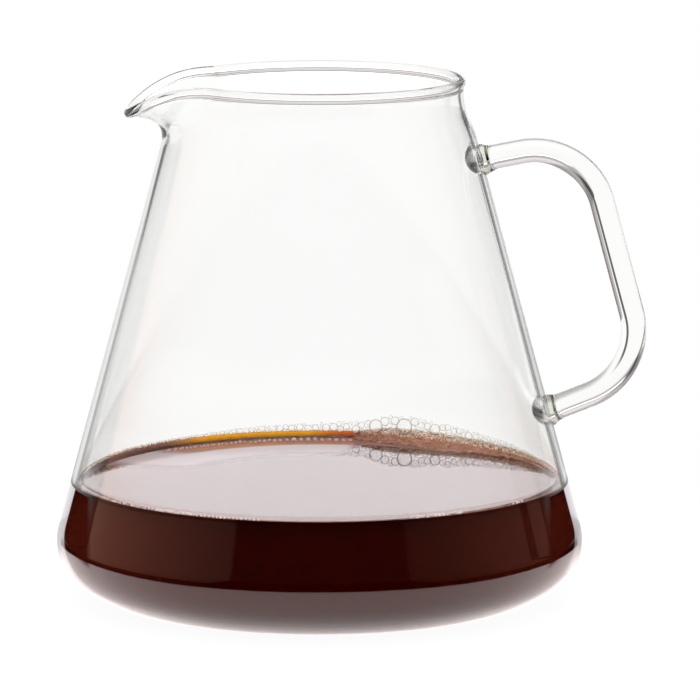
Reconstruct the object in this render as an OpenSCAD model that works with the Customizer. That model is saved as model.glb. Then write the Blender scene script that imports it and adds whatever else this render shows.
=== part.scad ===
// Glass coffee server: a conical blown body with a pulled spout and a welded rod handle,
// part filled with coffee under a raft of foam.
// The origin is on the body's axis, on the surface that the base stands on.
// +Z is up, the handle points along +X and the spout along -X.

/* [Body] */
// Widest diameter, at the heel
body_d = 150; // [120:1:180]
// Lean of the wall, in degrees from upright
wall_angle = 15; // [10:0.5:18]
// Thickness of the wall
wall_t = 1.9; // [1.4:0.1:3]
// Thickness of the floor
floor_t = 3; // [2:0.25:5]
// Radius of the heel where it turns up into the wall
heel_side_r = 14; // [10:0.5:18]
// Radius of the heel where it turns under to the floor
heel_under_r = 28; // [20:1:40]
// How far below level, in degrees, the two heel radii meet
heel_blend_angle = 52; // [40:1:65]
// Radius inside the heel
heel_inner_r = 17; // [12:0.5:22]

/* [Neck and rim] */
// Height of the middle of the rim bead above the base
rim_h = 148.3; // [140:0.1:165]
// Diameter of the rim, measured at the middle of its bead
rim_d = 80; // [74:1:88]
// Thickness of the rim bead
bead_d = 2.4; // [2.2:0.1:4]
// Height of the drawn-in neck, up to the middle of the rim bead
neck_h = 17.3; // [14:0.1:22]

/* [Spout] */
// Distance from the axis to the middle of the lip at the spout's tip
spout_reach = 53.8; // [48:0.1:60]
// Angle of the rim that the spout is pulled out of, in degrees
spout_angle = 86; // [60:1:110]
// How far the lip falls below the rim at the tip
spout_drop = 8.6; // [4:0.1:11]
// Rise of the lip at the tip, in degrees above level
lip_rise = 5; // [0:1:30]
// Thickness of the bead at the spout's tip
tip_bead_d = 2.7; // [2.2:0.1:4]

/* [Handle] */
// Diameter of the handle rod
rod_d = 7.2; // [6:0.1:10]
// Level distance from the wall's outer face to the middle of the grip
handle_reach = 30.7; // [26:0.1:40]
// Plain wall left between the upper weld and the foot of the neck, measured up the wall
upper_weld_gap = 0.7; // [0.2:0.1:12]
// Height between the middles of the two welds
weld_spacing = 72; // [60:0.5:80]
// Rise of the upper arm away from the wall, in degrees
upper_arm_rise = 11; // [0:0.5:25]
// Rise of the lower arm away from the wall, in degrees
lower_arm_rise = 21.5; // [5:0.5:28]
// Radius of the two bends, at the middle of the rod
bend_r = 20; // [12:0.5:22]
// Diameter of the welds where they meet the wall
weld_d = 9; // [8:0.1:12]
// Length of the welds along the rod
weld_l = 2.6; // [1.5:0.1:4]

/* [Contents] */
// Height of the coffee's surface above the base
coffee_level = 34; // [28:0.5:48]
// Gap between the coffee and the inner wall
coffee_gap = 0.15; // [0.05:0.05:0.4]
// Height of the foam raft at the wall
foam_h = 5.5; // [2:0.5:8]
// Width of the foam raft, from the wall inwards
foam_w = 15; // [8:0.5:24]
// Direction of the middle of the foam raft, in degrees from the handle
foam_turn = 60; // [0:1:140]
// Angle that the foam raft spans along the wall, in degrees
foam_span = 56; // [30:1:90]

/* [Hidden] */
$fn = 96;

// Steps along each round stretch of an outline, and across the spout
arc_steps = 14;
curve_steps = 9;
bead_steps = 12;
spout_steps = 36;
// Sides of the swept handle rod
rod_sides = 24;

// Length of the neck's run-in from the wall and of its run-out into the rim, as shares of its height
neck_in_share = 0.35;
neck_out_share = 0.46;
// The same two runs at the tip, as shares of how far the tip stands out of the rim
spout_in_share = 0.38;
spout_out_share = 0.45;
// How softly the lip leaves the rim, as a share of its pull at the tip
spout_foot_share = 0.3;
// How the lip falls along the spout: above 1 it falls later
lip_fall_power = 2.35;

glass = [0.86, 0.9, 0.9, 0.35];
coffee_brown = [0.16, 0.05, 0.03];
foam_tan = [0.72, 0.52, 0.36];

body_r = body_d / 2;
rim_r = rim_d / 2;
rod_r = rod_d / 2;
weld_r = weld_d / 2;

// Centres of the two outer heel arcs: the side one reaches body_r, the under one touches the floor plane
heel_side_c = [
    body_r - heel_side_r,
    heel_under_r - (heel_under_r - heel_side_r) * sin(heel_blend_angle)
];
heel_under_c = [
    heel_side_c.x - (heel_under_r - heel_side_r) * cos(heel_blend_angle),
    heel_under_r
];

// The outer wall touches the side arc; along it, r * cos + z * sin stays at this value
wall_reach = heel_side_c.x * cos(wall_angle) + heel_side_c.y * sin(wall_angle) + heel_side_r;
function wall_r(z, inset = 0) = (wall_reach - inset - z * sin(wall_angle)) / cos(wall_angle);

// Centre of the inner heel arc, which touches the floor and the inner wall
heel_inner_z = floor_t + heel_inner_r;
heel_inner_c = [wall_r(heel_inner_z, wall_t + heel_inner_r), heel_inner_z];

// Height at which the base ends and the plain wall begins
heel_top = max(
    heel_inner_c.y + heel_inner_r * sin(wall_angle),
    heel_side_c.y + heel_side_r * sin(wall_angle)
);
// Height at which the plain wall ends and the neck begins
neck_base = rim_h - neck_h;

// Heights at which the two arms meet the wall: the upper weld stops short of the neck
upper_weld_reach = weld_r / cos(wall_angle - upper_arm_rise) + upper_weld_gap;
upper_weld_h = neck_base - upper_weld_reach * cos(wall_angle);
lower_weld_h = upper_weld_h - weld_spacing;

// The coffee stands on the floor and clears the inner wall
coffee_r = heel_inner_r - coffee_gap;
coffee_c = [heel_inner_c.x, floor_t + coffee_r];
coffee_inset = wall_reach - coffee_c.x * cos(wall_angle) - coffee_c.y * sin(wall_angle) - coffee_r;

spout_half = spout_angle / 2;

function arc(centre, r, from, to, steps) =
    [for (i = [0:steps]) centre + r * aim(from + (to - from) * i / steps)];
function aim(angle) = [cos(angle), sin(angle)];
function blend(a, b, share) = a + (b - a) * share;
function curve(a, b, c, d, steps) = [
    for (i = [0:steps])
        let (t = i / steps, u = 1 - t)
            u * u * u * a + 3 * u * u * t * b + 3 * u * t * t * c + t * t * t * d
];

// Outline of the neck, from the plain rim at flare 0 to the spout's tip at flare 1,
// up the outer face, round the bead and down the inner face
function neck_outline(flare) =
    let (
        lip_r = blend(bead_d, tip_bead_d, flare) / 2,
        lip = [blend(rim_r, spout_reach, flare), rim_h - spout_drop * pow(flare, lip_fall_power)],
        heading = blend(90, lip_rise, flare),
        seat = 180 - asin(min(wall_t / 2 / lip_r, 1)),
        bead = arc(lip, lip_r, heading - seat, heading + seat, bead_steps),
        stand_out = spout_reach - rim_r,
        run_in = blend(neck_in_share * neck_h, spout_in_share * stand_out, flare) * aim(90 + wall_angle),
        run_out = blend(neck_out_share * neck_h, spout_out_share * stand_out, flare) * aim(heading),
        outer = [wall_r(neck_base), neck_base],
        inner = [wall_r(neck_base, wall_t), neck_base],
        bead_out = bead[0],
        bead_in = bead[bead_steps],
        up = curve(outer, outer + run_in, bead_out - run_out, bead_out, curve_steps),
        down = curve(bead_in, bead_in - run_out, inner + run_in, inner, curve_steps)
    )
    concat(up, [for (i = [1:bead_steps - 1]) bead[i]], down);

// How far the lip has left the rim circle at an angle from the spout's middle
function lip_flare(angle) =
    let (pull = max(cos(90 * angle / spout_half), 0))
        (1 + spout_foot_share) * pull * pull / (pull + spout_foot_share);

module base() {
    color(glass)
        rotate_extrude()
            polygon(concat(
                [[0, 0]],
                arc(heel_under_c, heel_under_r, -90, -heel_blend_angle, arc_steps),
                arc(heel_side_c, heel_side_r, -heel_blend_angle, wall_angle, arc_steps),
                [[wall_r(heel_top), heel_top], [wall_r(heel_top, wall_t), heel_top]],
                arc(heel_inner_c, heel_inner_r, wall_angle, -90, arc_steps),
                [[0, floor_t]]
            ));
}

module body_wall() {
    color(glass)
        rotate_extrude()
            polygon([
                [wall_r(heel_top), heel_top],
                [wall_r(neck_base), neck_base],
                [wall_r(neck_base, wall_t), neck_base],
                [wall_r(heel_top, wall_t), heel_top]
            ]);
}

module neck_rim() {
    color(glass)
        rotate([0, 0, spout_half - 180])
            rotate_extrude(angle = 360 - 2 * spout_half)
                polygon(neck_outline(0));
}

module pouring_spout() {
    rings = [
        for (i = [0:spout_steps])
            let (angle = spout_half * (2 * i / spout_steps - 1))
                [for (p = neck_outline(lip_flare(angle))) [-p.x * cos(angle), -p.x * sin(angle), p.y]]
    ];
    count = len(rings[0]);
    sides = [
        for (i = [0:spout_steps - 1], j = [0:count - 1])
            let (a = i * count + j, b = i * count + (j + 1) % count)
                each [[a, b, b + count], [a, b + count, a + count]]
    ];
    first_end = [for (j = [count - 1:-1:0]) j];
    last_end = [for (j = [0:count - 1]) spout_steps * count + j];
    color(glass)
        polyhedron(points = [for (ring = rings) each ring], faces = concat(sides, [first_end, last_end]));
}

// Turns a shape that is drawn along +Z to run out of the wall at a height, rising at an angle
module from_wall(height, rise) {
    translate([wall_r(height), 0, height])
        rotate([0, 90 - rise, 0])
            children();
}

// Where an arm's centre line crosses the grip's, which runs beside the wall
function corner(height, rise) =
    let (run = handle_reach / (1 + tan(rise) * tan(wall_angle)))
        [wall_r(height) + run, height + run * tan(rise)];

// Where a weld ends and the rod begins
function weld_end(height, rise) = [wall_r(height), height] + weld_l * aim(rise);

// Stops along one clockwise bend that rounds a corner from one heading to the next
function bend_stops(at, heading, next_heading) =
    let (
        turn = heading - next_heading,
        start = at - bend_r * tan(turn / 2) * aim(heading),
        centre = start + bend_r * aim(heading - 90)
    )
    [
        for (i = [0:arc_steps])
            let (now = heading - turn * i / arc_steps)
                [centre + bend_r * aim(now + 90), now]
    ];

// The rod is swept along its centre line: each stop there is a point of the handle's plane and a heading
module handle_rod() {
    grip_heading = wall_angle - 90;
    wall_heading = lower_arm_rise - 180;
    upper_corner = corner(upper_weld_h, upper_arm_rise);
    lower_corner = corner(lower_weld_h, lower_arm_rise);
    stops = concat(
        [[weld_end(upper_weld_h, upper_arm_rise), upper_arm_rise]],
        bend_stops(upper_corner, upper_arm_rise, grip_heading),
        bend_stops(lower_corner, grip_heading, wall_heading),
        [[weld_end(lower_weld_h, lower_arm_rise), wall_heading]]
    );
    points = [
        for (stop = stops, i = [0:rod_sides - 1])
            let (
                turn = 360 * i / rod_sides,
                p = stop[0] + rod_r * cos(turn) * aim(stop[1] + 90)
            )
            [p.x, rod_r * sin(turn), p.y]
    ];
    sides = [
        for (k = [0:len(stops) - 2], i = [0:rod_sides - 1])
            let (a = k * rod_sides + i, b = k * rod_sides + (i + 1) % rod_sides)
                each [[a, b + rod_sides, b], [a, a + rod_sides, b + rod_sides]]
    ];
    first_end = [for (i = [0:rod_sides - 1]) i];
    last_end = [for (i = [rod_sides - 1:-1:0]) (len(stops) - 1) * rod_sides + i];
    color(glass)
        polyhedron(points = points, faces = concat(sides, [first_end, last_end]));
}

// Flared gather of glass between the wall and one end of the rod, cut to the wall's face
module handle_weld(height, rise) {
    color(glass)
        difference() {
            from_wall(height, rise) {
                cylinder(r1 = weld_r, r2 = rod_r, h = weld_l);
                translate([0, 0, -weld_l])
                    cylinder(r = weld_r, h = weld_l);
            }
            translate([0, 0, heel_top])
                cylinder(r1 = wall_r(heel_top), r2 = wall_r(rim_h), h = rim_h - heel_top);
        }
}

module upper_handle_weld() {
    handle_weld(upper_weld_h, upper_arm_rise);
}

module lower_handle_weld() {
    handle_weld(lower_weld_h, lower_arm_rise);
}

module coffee() {
    color(coffee_brown)
        rotate_extrude()
            polygon(concat(
                [[0, floor_t]],
                arc(coffee_c, coffee_r, -90, wall_angle, arc_steps),
                [[wall_r(coffee_level, coffee_inset), coffee_level], [0, coffee_level]]
            ));
}

// The raft is a mound against the wall, within a round patch that is centred outside the body
module foam() {
    foam_top = coffee_level + foam_h;
    edge_r = wall_r(coffee_level, coffee_inset);
    crest_r = wall_r(foam_top, coffee_inset);
    toe_r = crest_r - foam_w;
    bulge = edge_r * cos(foam_span / 2) - toe_r;
    half_chord = edge_r * sin(foam_span / 2);
    patch_r = (bulge * bulge + half_chord * half_chord) / (2 * bulge);
    color(foam_tan)
        intersection() {
            rotate_extrude()
                polygon(concat(
                    [[edge_r, coffee_level]],
                    [for (i = [0:arc_steps])
                        let (angle = 90 * i / arc_steps)
                            [crest_r - foam_w * sin(angle), coffee_level + foam_h * cos(angle)]]
                ));
            rotate([0, 0, foam_turn])
                translate([toe_r + patch_r, 0, coffee_level])
                    cylinder(r = patch_r, h = foam_h);
        }
}

base();
body_wall();
neck_rim();
pouring_spout();
handle_rod();
upper_handle_weld();
lower_handle_weld();
coffee();
foam();
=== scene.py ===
# %% [markdown]
# # A blown-glass coffee server
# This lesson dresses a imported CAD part. The part is a conical glass server with a pulled spout
# and a welded rod handle. Black coffee with a raft of foam fills it to about a quarter of its height.
# The CAD frame fixes where everything is, so this script only gives the pieces their looks.

# %% Load the frame
import math
import bmesh
import bpy
import numpy as np
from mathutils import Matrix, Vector, noise


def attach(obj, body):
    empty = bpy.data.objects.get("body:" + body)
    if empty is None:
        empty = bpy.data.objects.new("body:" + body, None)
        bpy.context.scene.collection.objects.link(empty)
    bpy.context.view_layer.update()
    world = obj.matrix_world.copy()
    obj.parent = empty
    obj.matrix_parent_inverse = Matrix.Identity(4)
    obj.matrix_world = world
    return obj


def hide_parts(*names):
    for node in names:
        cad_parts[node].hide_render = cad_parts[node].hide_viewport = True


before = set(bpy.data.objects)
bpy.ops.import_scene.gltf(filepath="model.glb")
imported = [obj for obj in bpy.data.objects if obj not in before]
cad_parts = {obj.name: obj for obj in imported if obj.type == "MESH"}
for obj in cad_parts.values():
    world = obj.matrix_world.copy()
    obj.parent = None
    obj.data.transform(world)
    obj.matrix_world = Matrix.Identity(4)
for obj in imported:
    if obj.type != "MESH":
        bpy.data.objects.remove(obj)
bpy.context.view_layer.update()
MM = 0.001

# %% [markdown]
# ## The camera
# The photograph was taken with a long lens from a little above the rim, so the glass shows almost no
# perspective. The camera's place was worked out from the rim, the heel and the coffee's edge.
# A lens is given in millimetres on a 36 mm sensor, so the focal length in pixels is turned into that.

# %% Camera
PHOTO_PX = 700
SENSOR_MM = 36
FOCAL_PX = 6513.1
CAMERA_PLACE = (0.0087, -1.8298, 0.36846)
CAMERA_PITCH = 0.1610


def add_object(name, data):
    """A new object in the scene."""
    made = bpy.data.objects.new(name, data)
    bpy.context.scene.collection.objects.link(made)
    return made


camera_data = bpy.data.cameras.new("camera")
camera_data.sensor_width = SENSOR_MM
camera_data.lens = FOCAL_PX * SENSOR_MM / PHOTO_PX
camera = add_object("camera", camera_data)
camera.location = CAMERA_PLACE
camera.rotation_euler = (math.pi / 2 - CAMERA_PITCH, 0, 0)
bpy.context.scene.camera = camera
bpy.context.scene.view_settings.view_transform = "Standard"
print("lens in mm:", round(camera_data.lens, 1))

# %% [markdown]
# ## Node sums written as Python
# Shaders and geometry nodes hold many small sums. Placing each Math node by hand hides the formula,
# so a small class wraps a socket, and an expression on wrapped sockets adds the nodes.


# %% Wires
class Wire:
    """One socket of a node tree. Sums on wires add Math nodes, or Vector Math nodes for vectors."""

    def __init__(self, tree, socket=None):
        self.tree = tree
        self.socket = socket

    def node(self, kind, inputs=(), output=0, **settings):
        """Adds any other node: its settings are set first, then its sockets get values or links."""
        made = self.tree.nodes.new(kind)
        for name, value in settings.items():
            setattr(made, name, value)
        for name, value in dict(inputs).items():
            if isinstance(value, Wire):
                self.tree.links.new(value.socket, made.inputs[name])
            else:
                made.inputs[name].default_value = value
        return Wire(self.tree, made.outputs[output] if len(made.outputs) else None)

    def sum(self, operation, first, second):
        wires = [w for w in (first, second) if isinstance(w, Wire)]
        vector = any(w.socket.type in ("VECTOR", "RGBA") for w in wires)
        kind = "ShaderNodeVectorMath" if vector else "ShaderNodeMath"
        return self.node(kind, {0: first, 1: second}, operation=operation)

    def math(self, operation, second=0.0):
        return self.sum(operation, self, second)

    def __add__(self, other):
        return self.sum("ADD", self, other)

    __radd__ = __add__

    def __sub__(self, other):
        return self.sum("SUBTRACT", self, other)

    def __rsub__(self, other):
        return self.sum("SUBTRACT", other, self)

    def __mul__(self, other):
        return self.sum("MULTIPLY", self, other)

    __rmul__ = __mul__

    def __truediv__(self, other):
        return self.sum("DIVIDE", self, other)

    def part(self, axis):
        """The x, y or z part of a vector."""
        return self.node("ShaderNodeSeparateXYZ", {0: self}, "XYZ".index(axis))

    def ease(self, low, high):
        """0 below low, 1 above high, and smooth between them."""
        inputs = {0: self, 1: low, 2: high}
        return self.node("ShaderNodeMapRange", inputs, interpolation_type="SMOOTHSTEP")

    def mix(self, first, second):
        """A colour between two others, where this wire is the share of the second."""
        return self.node("ShaderNodeMix", {0: self, 6: first, 7: second}, 2, data_type="RGBA")

    def within(self, left, right, soft):
        """1 between two bounds and 0 outside them, with soft edges."""
        return self.ease(left, left + soft) * (1 - self.ease(right - soft, right))

    def place(self, kind="Object"):
        """Places in the object's own frame, or directions in the world."""
        return self.node("ShaderNodeTexCoord", {}, kind)

    def ray(self, kind):
        """1 for one kind of ray, such as those that come straight from the camera, and 0 for others."""
        return self.node("ShaderNodeLightPath", {}, kind)

    def facing(self):
        """0 where a surface is seen straight on, and 1 where it is seen along its edge."""
        return self.node("ShaderNodeLayerWeight", {"Blend": 0.5}, "Facing")

    def grain(self, scale, detail):
        """Noise at a place."""
        inputs = {"Vector": self, "Scale": scale, "Detail": detail}
        return self.node("ShaderNodeTexNoise", inputs, "Fac")

    def out(self):
        """Distance of a place from the object's axis."""
        x, y = self.part("X"), self.part("Y")
        return (x * x + y * y).math("SQRT")

    def turn(self):
        """Direction of a place in degrees, from straight behind the object towards the handle."""
        return self.part("X").math("ARCTAN2", self.part("Y")) * math.degrees(1)


def blend_light(net, parts):
    """One colour from several lights, each a level and its tint."""
    shares = [sum((level * tint[k] for level, tint in parts), 0.0) for k in range(3)]
    return net.node("ShaderNodeCombineXYZ", dict(zip("XYZ", shares)))


def new_material(name):
    material = bpy.data.materials.new(name)
    material.use_nodes = True
    material.node_tree.nodes.clear()
    return material, Wire(material.node_tree)


def dressed(material, net, inputs, **more):
    """A material with one principled shader."""
    shader = net.node("ShaderNodeBsdfPrincipled", inputs)
    net.node("ShaderNodeOutputMaterial", {"Surface": shader, **more})
    return material


print("Wires are ready")

# %% [markdown]
# ## The set
# Clear glass has no colour of its own: it shows what stands around it. Here that is a white table,
# a bright panel behind, two dim side panels and a dark room in front. A table that is white all round
# would make the glass vanish, so narrow dark cards lie beside the straight paths across it. Only light
# that has passed through the glass shows them, and the walls get their thin dark edge lines from them.
# Seen through glass, the table's glow is white along a low line of sight and painted darker from
# straight above, a painted shade.

# %% Side panels
PANEL_SOFT = 1.5
# Each side panel: its left and right edge, in degrees from straight behind the object towards the
# handle, and its brightness at those two edges
SIDE_PANELS = {
    "left_panel": (-142, -57, 0.2, 0.68),
    "right_strip": (58, 70, 0.23, 0.23),
    "right_panel": (74, 141, 0.2, 0.09),
}
PANEL_TINT = (1.0, 0.5, 0.36)
# Through clear glass the panels look grey
PASSED_TINT = (0.64, 0.62, 0.61)


def side_glow(turn):
    """Brightness of the side panels at a direction in degrees."""
    level = 0.0
    for left, right, start, end in SIDE_PANELS.values():
        inside = turn.within(left, right, PANEL_SOFT)
        slope = (end - start) / (right - left)
        level = inside * (turn * slope + (start - left * slope)) + level
    return level


# %% Edge cards
CARD_SOFT = 2.0
CARD_START_SOFT = 0.05
GLASS_HALF_WIDTH = 0.062
# Each card: the direction of its path, in degrees from straight behind the object towards the handle,
# the side of the path that it lies on, its near and far edge, in degrees from the path's own edge, how
# far out it starts, in m, and how dark it is
CARDS = (
    (0, -1, 21.0, 34.0, 0.0, 0.72),
    (0, 1, 20.0, 28.0, 0.0, 0.88),
    (135, -1, 16.0, 26.0, 0.0, 0.8),
    (135, 1, 16.0, 26.0, 0.0, 0.8),
    (-90, -1, 16.0, 26.0, 0.7, 0.8),
    (-90, 1, 16.0, 26.0, 0.7, 0.8),
)


def card_shade(place):
    """How dark the table looks through glass at a place: 0 straight through, more where a card lies."""
    along_x, along_y = place.part("X"), place.part("Y")
    distance = place.out()
    shade = 0.0
    for turn, hand, near, far, start, depth in CARDS:
        side, ahead = math.sin(math.radians(turn)), math.cos(math.radians(turn))
        aside = (along_x * ahead - along_y * side) * hand - GLASS_HALF_WIDTH
        lean = aside.math("ARCTAN2", along_x * side + along_y * ahead) * math.degrees(1)
        card = depth * lean.within(near, far + CARD_SOFT, CARD_SOFT)
        shade = (card * distance.ease(start - CARD_START_SOFT, start)).math("MAXIMUM", shade)
    return shade


# %% Floor
FLOOR_RADIUS = 8.0
FLOOR_DROP = 0.0002
FLOOR_WHITE = (0.8, 0.8, 0.8, 1)
SHADOW_SHARE = 0.05
SHADOW_NEAR = 0.08
SHADOW_FAR = 0.2
PASSED_LEVEL = 1.03
STEEP_SHADE, STEEP_SIGHT = 0.08, (0.5, 0.9)
# The dark cards lie flat, so they only show along a low line of sight
CARD_SIGHT = (0.62, 0.74)
# Under the glass the table's glow is painted dark, a painted shadow where hardly any light reaches it
UNDER_LEVEL = 0.12
UNDER_EDGE, OPEN_EDGE = 0.056, 0.09
# Under the handle the table's glow is painted a little darker too, a painted shadow of the handle
HANDLE_SHADE = 0.55
HANDLE_PLACE = 0.06
HANDLE_NEAR, HANDLE_FAR = 0.06, 0.14
# White patch of the table that polished surfaces mirror, and where the mirrored panels stand behind it
PATCH_TINT = (1.0, 0.88, 0.86)
PATCH_EDGE, PATCH_SOFT = 0.12, 0.004
PANEL_EDGE, PANEL_EDGE_SOFT = 0.19, 0.01
# Both edges lie further out behind and at the sides, by this share, and straight behind the object the
# patch reaches as far as the panels. The patch is brightest at the sides. All bounds are in degrees
SIDE_SPREAD, SPREAD_TURNS = 0.22, (60, 140)
PATCH_TURNS = (40, 55)
BEHIND_LEVEL, SIDE_LEVEL, FRONT_LEVEL = 0.7, 1.9, 1.4
SIDE_TURNS, FRONT_TURNS = (48, 80), (100, 160)
# Polished surfaces mirror white straight behind the object, and less of it to the sides: two bounds in
# degrees, and the share that is lost at the first of them
MIRROR_TURNS = ((12, 20), (46, 60))
MIRROR_LOSS = 0.45


def mirror_share(turn):
    """How much of the white behind the object a polished surface mirrors at a direction."""
    away = turn.math("ABSOLUTE")
    near, far = (away.ease(*bounds) for bounds in MIRROR_TURNS)
    return 1 - MIRROR_LOSS * near - (1 - MIRROR_LOSS) * far


def floor_material():
    material, net = new_material("white_table")
    place = net.place()
    distance, turn = place.out(), place.turn()
    passed, mirrored = net.ray("Is Transmission Ray"), net.ray("Is Glossy Ray")
    seen = net.ray("Is Camera Ray")
    low_sight = net.facing()
    # Painted shade and shadows in the table's glow seen through glass: from straight above, under the
    # glass and under the handle
    steep = STEEP_SHADE * (1 - low_sight).ease(*STEEP_SIGHT)
    open_share = distance.ease(UNDER_EDGE, OPEN_EDGE) * (1 - UNDER_LEVEL) + UNDER_LEVEL
    aside, along_y = place.part("X") - HANDLE_PLACE, place.part("Y")
    apart = (aside * aside + along_y * along_y).math("SQRT")
    handle_shade = HANDLE_SHADE * (1 - apart.ease(HANDLE_NEAR, HANDLE_FAR))
    cards = card_shade(place) * low_sight.ease(*CARD_SIGHT)
    through = PASSED_LEVEL * (1 - cards) * (1 - steep) * open_share * (1 - handle_shade)
    away = turn.math("ABSOLUTE")
    drawn_in = distance / (1 + SIDE_SPREAD * (1 - away.ease(*SPREAD_TURNS)))
    reach = PANEL_EDGE - (PANEL_EDGE - PATCH_EDGE) * away.ease(*PATCH_TURNS)
    level = BEHIND_LEVEL + (SIDE_LEVEL - BEHIND_LEVEL) * away.ease(*SIDE_TURNS)
    level = level + (FRONT_LEVEL - SIDE_LEVEL) * away.ease(*FRONT_TURNS)
    patch = level * (1 - (drawn_in - reach).ease(-PATCH_SOFT, PATCH_SOFT))
    other = (1 - passed) * (1 - seen)
    far = other * drawn_in.ease(PANEL_EDGE - PANEL_EDGE_SOFT, PANEL_EDGE + PANEL_EDGE_SOFT)
    plain = seen + (1 - seen) * passed * through
    colour = blend_light(net, (
        (plain, (1, 1, 1)),
        (patch * other, PATCH_TINT),
        (side_glow(turn) * far, PANEL_TINT),
        (mirror_share(turn) * far, (1, 1, 1)),
    ))
    glow = net.node("ShaderNodeEmission", {"Color": colour})
    matt = net.node("ShaderNodeBsdfDiffuse", {"Color": FLOOR_WHITE})
    shadow = SHADOW_SHARE * (1 - distance.ease(SHADOW_NEAR, SHADOW_FAR))
    share = passed.math("MAXIMUM", mirrored).math("MAXIMUM", seen * (1 - shadow))
    shader = net.node("ShaderNodeMixShader", {0: share, 1: matt, 2: glow})
    net.node("ShaderNodeOutputMaterial", {"Surface": shader})
    return material


bpy.ops.mesh.primitive_circle_add(
    vertices=64, radius=FLOOR_RADIUS, fill_type="NGON", location=(0, 0, -FLOOR_DROP))
floor = bpy.context.object
floor.name = "floor"
floor.data.materials.append(floor_material())
print("floor radius in m:", FLOOR_RADIUS)

# %% World
ROOM_LEVEL = 0.02
# Where the side panels start and end upwards, and where the wall behind ends sideways, in degrees
SIDE_LOW, SIDE_HIGH = (-2.0, -0.5), (50.0, 60.0)
BEHIND_TURNS = (50, 90)
# The wall behind is nearly white at the table and gets dimmer upwards, to a soft light overhead
BACK_LEVELS = ((0, 0.9), (4, 0.48), (12, 0.48), (16, 0.85), (34, 0.65), (48, 0.6), (54, 2.2))
BACK_TINT = (1.0, 0.96, 0.97)
OVERHEAD = (48, 54)
# Two of the dark cards also stand up a little over the table: left and right edge, in degrees, and depth
UPRIGHT_CARDS = ((-33, -21, 0.7), (16, 29, 0.8))
UPRIGHT_TOP = (8, 12)
# Matt surfaces get an even soft light from all round. It is over 1 because glass takes some of it, and
# the coffee below gives nothing back
EVEN_LOW, EVEN_HIGH = (2.8, 2.8, 2.8, 1), (1.9, 1.9, 1.9, 1)
EVEN_HEIGHTS = (0, 60)


def studio_world():
    world = bpy.data.worlds.new("studio")
    world.use_nodes = True
    world.node_tree.nodes.clear()
    net = Wire(world.node_tree)
    way = net.place("Generated")
    turn = way.turn()
    height = way.part("Z").math("ARCSINE") * math.degrees(1)
    seen, mirrored = net.ray("Is Camera Ray"), net.ray("Is Glossy Ray")
    sides = side_glow(turn) * height.ease(*SIDE_LOW) * (1 - height.ease(*SIDE_HIGH))
    back = BACK_LEVELS[0][1]
    for (low, dim), (high, bright) in zip(BACK_LEVELS, BACK_LEVELS[1:]):
        back = height.ease(low, high) * (bright - dim) + back
    open_back = 1 - turn.math("ABSOLUTE").ease(*BEHIND_TURNS)
    behind = mirrored * mirror_share(turn) + (1 - mirrored) * open_back
    card = 0.0
    for left, right, depth in UPRIGHT_CARDS:
        card = depth * turn.within(left, right, CARD_SOFT) + card
    behind = behind * (1 - card * (1 - height.ease(*UPRIGHT_TOP)))
    behind = behind.math("MAXIMUM", height.ease(*OVERHEAD))
    colour = blend_light(net, (
        (back * behind + ROOM_LEVEL, BACK_TINT),
        (sides * mirrored, PANEL_TINT),
        (sides * (1 - mirrored), PASSED_TINT),
    ))
    shown = net.node("ShaderNodeBackground", {"Color": colour})
    soft = height.ease(*EVEN_HEIGHTS).mix(EVEN_LOW, EVEN_HIGH)
    even = net.node("ShaderNodeBackground", {"Color": soft})
    white = net.node("ShaderNodeBackground", {"Color": (1, 1, 1, 1)})
    matt = net.ray("Diffuse Depth").math("GREATER_THAN", 0.5)
    sky = net.node("ShaderNodeMixShader", {0: matt, 1: shown, 2: even})
    shader = net.node("ShaderNodeMixShader", {0: seen, 1: sky, 2: white})
    net.node("ShaderNodeOutputWorld", {"Surface": shader})
    return world


bpy.context.scene.world = studio_world()
print("side panels:", list(SIDE_PANELS))

# %% Lamps


def panel(name, place, aim, width, height, radiance, tint, mirrored):
    """A soft panel lamp that the camera doesn't see, and that glass and coffee may mirror."""
    data = bpy.data.lights.new(name, "AREA")
    data.shape = "RECTANGLE"
    data.size = width
    data.size_y = height
    data.energy = radiance * math.pi * width * height
    data.color = tint
    lamp = add_object(name, data)
    lamp.location = place
    lamp.rotation_euler = (Vector(aim) - Vector(place)).to_track_quat("-Z", "Y").to_euler()
    lamp.visible_camera = False
    lamp.visible_glossy = mirrored
    lamp.visible_transmission = mirrored


panel("top_panel", (0, 0.3, 1.3), (0, 0, 0), 1.6, 1.2, 1.6, (1, 1, 1), False)
# A low strip far behind the glass, for the pale sheen on the coffee's top
panel("sheen_strip", (0, 0.8, 0.181), (0, 0, 0.181), 0.4, 0.052, 1.4, (1, 0.93, 0.96), True)

# %% Bounces
# Light has to pass many glass faces, so paths may be longer than usual
cycles = bpy.context.scene.cycles
cycles.max_bounces = 28
cycles.transmission_bounces = 24
cycles.glossy_bounces = 10
cycles.transparent_max_bounces = 48
print("light may bounce", cycles.max_bounces, "times")

# %% [markdown]
# ## Clear glass
# Heat-resistant glass bends light a little less than window glass. Thick runs of it, as along the rod
# and in the spout's tip, look faintly olive, which a little absorption inside the volume gives.
# Blown glass is never quite even, so a slow noise makes the faintest waves in its surface.
# Below the coffee's level the glass is wet inside. Light then meets coffee instead of air behind the
# wall, so the outer face there only mirrors, and the inner face can't be seen at all.

# %% Glass materials
GLASS_IOR = 1.47
WET_COAT_IOR = 1.62
OLIVE = (0.62, 0.66, 0.52, 1)
LILAC = (0.8, 0.77, 0.79, 1)
# How fast light fades in the plain, the wet and the welded glass
CLEAR_DEPTH, WET_DEPTH, WELD_DEPTH = 14.0, 65.0, 90.0
WAVE_GRAIN = (28.0, 1.0)
WAVE_BUMP = {"Strength": 0.01, "Distance": 0.001}
WAVE_TINTS = ((0.99, 0.993, 0.99, 1), (1, 1, 1, 1))
MIRROR_TINT = (0.35, 0.35, 0.35, 1)
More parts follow.
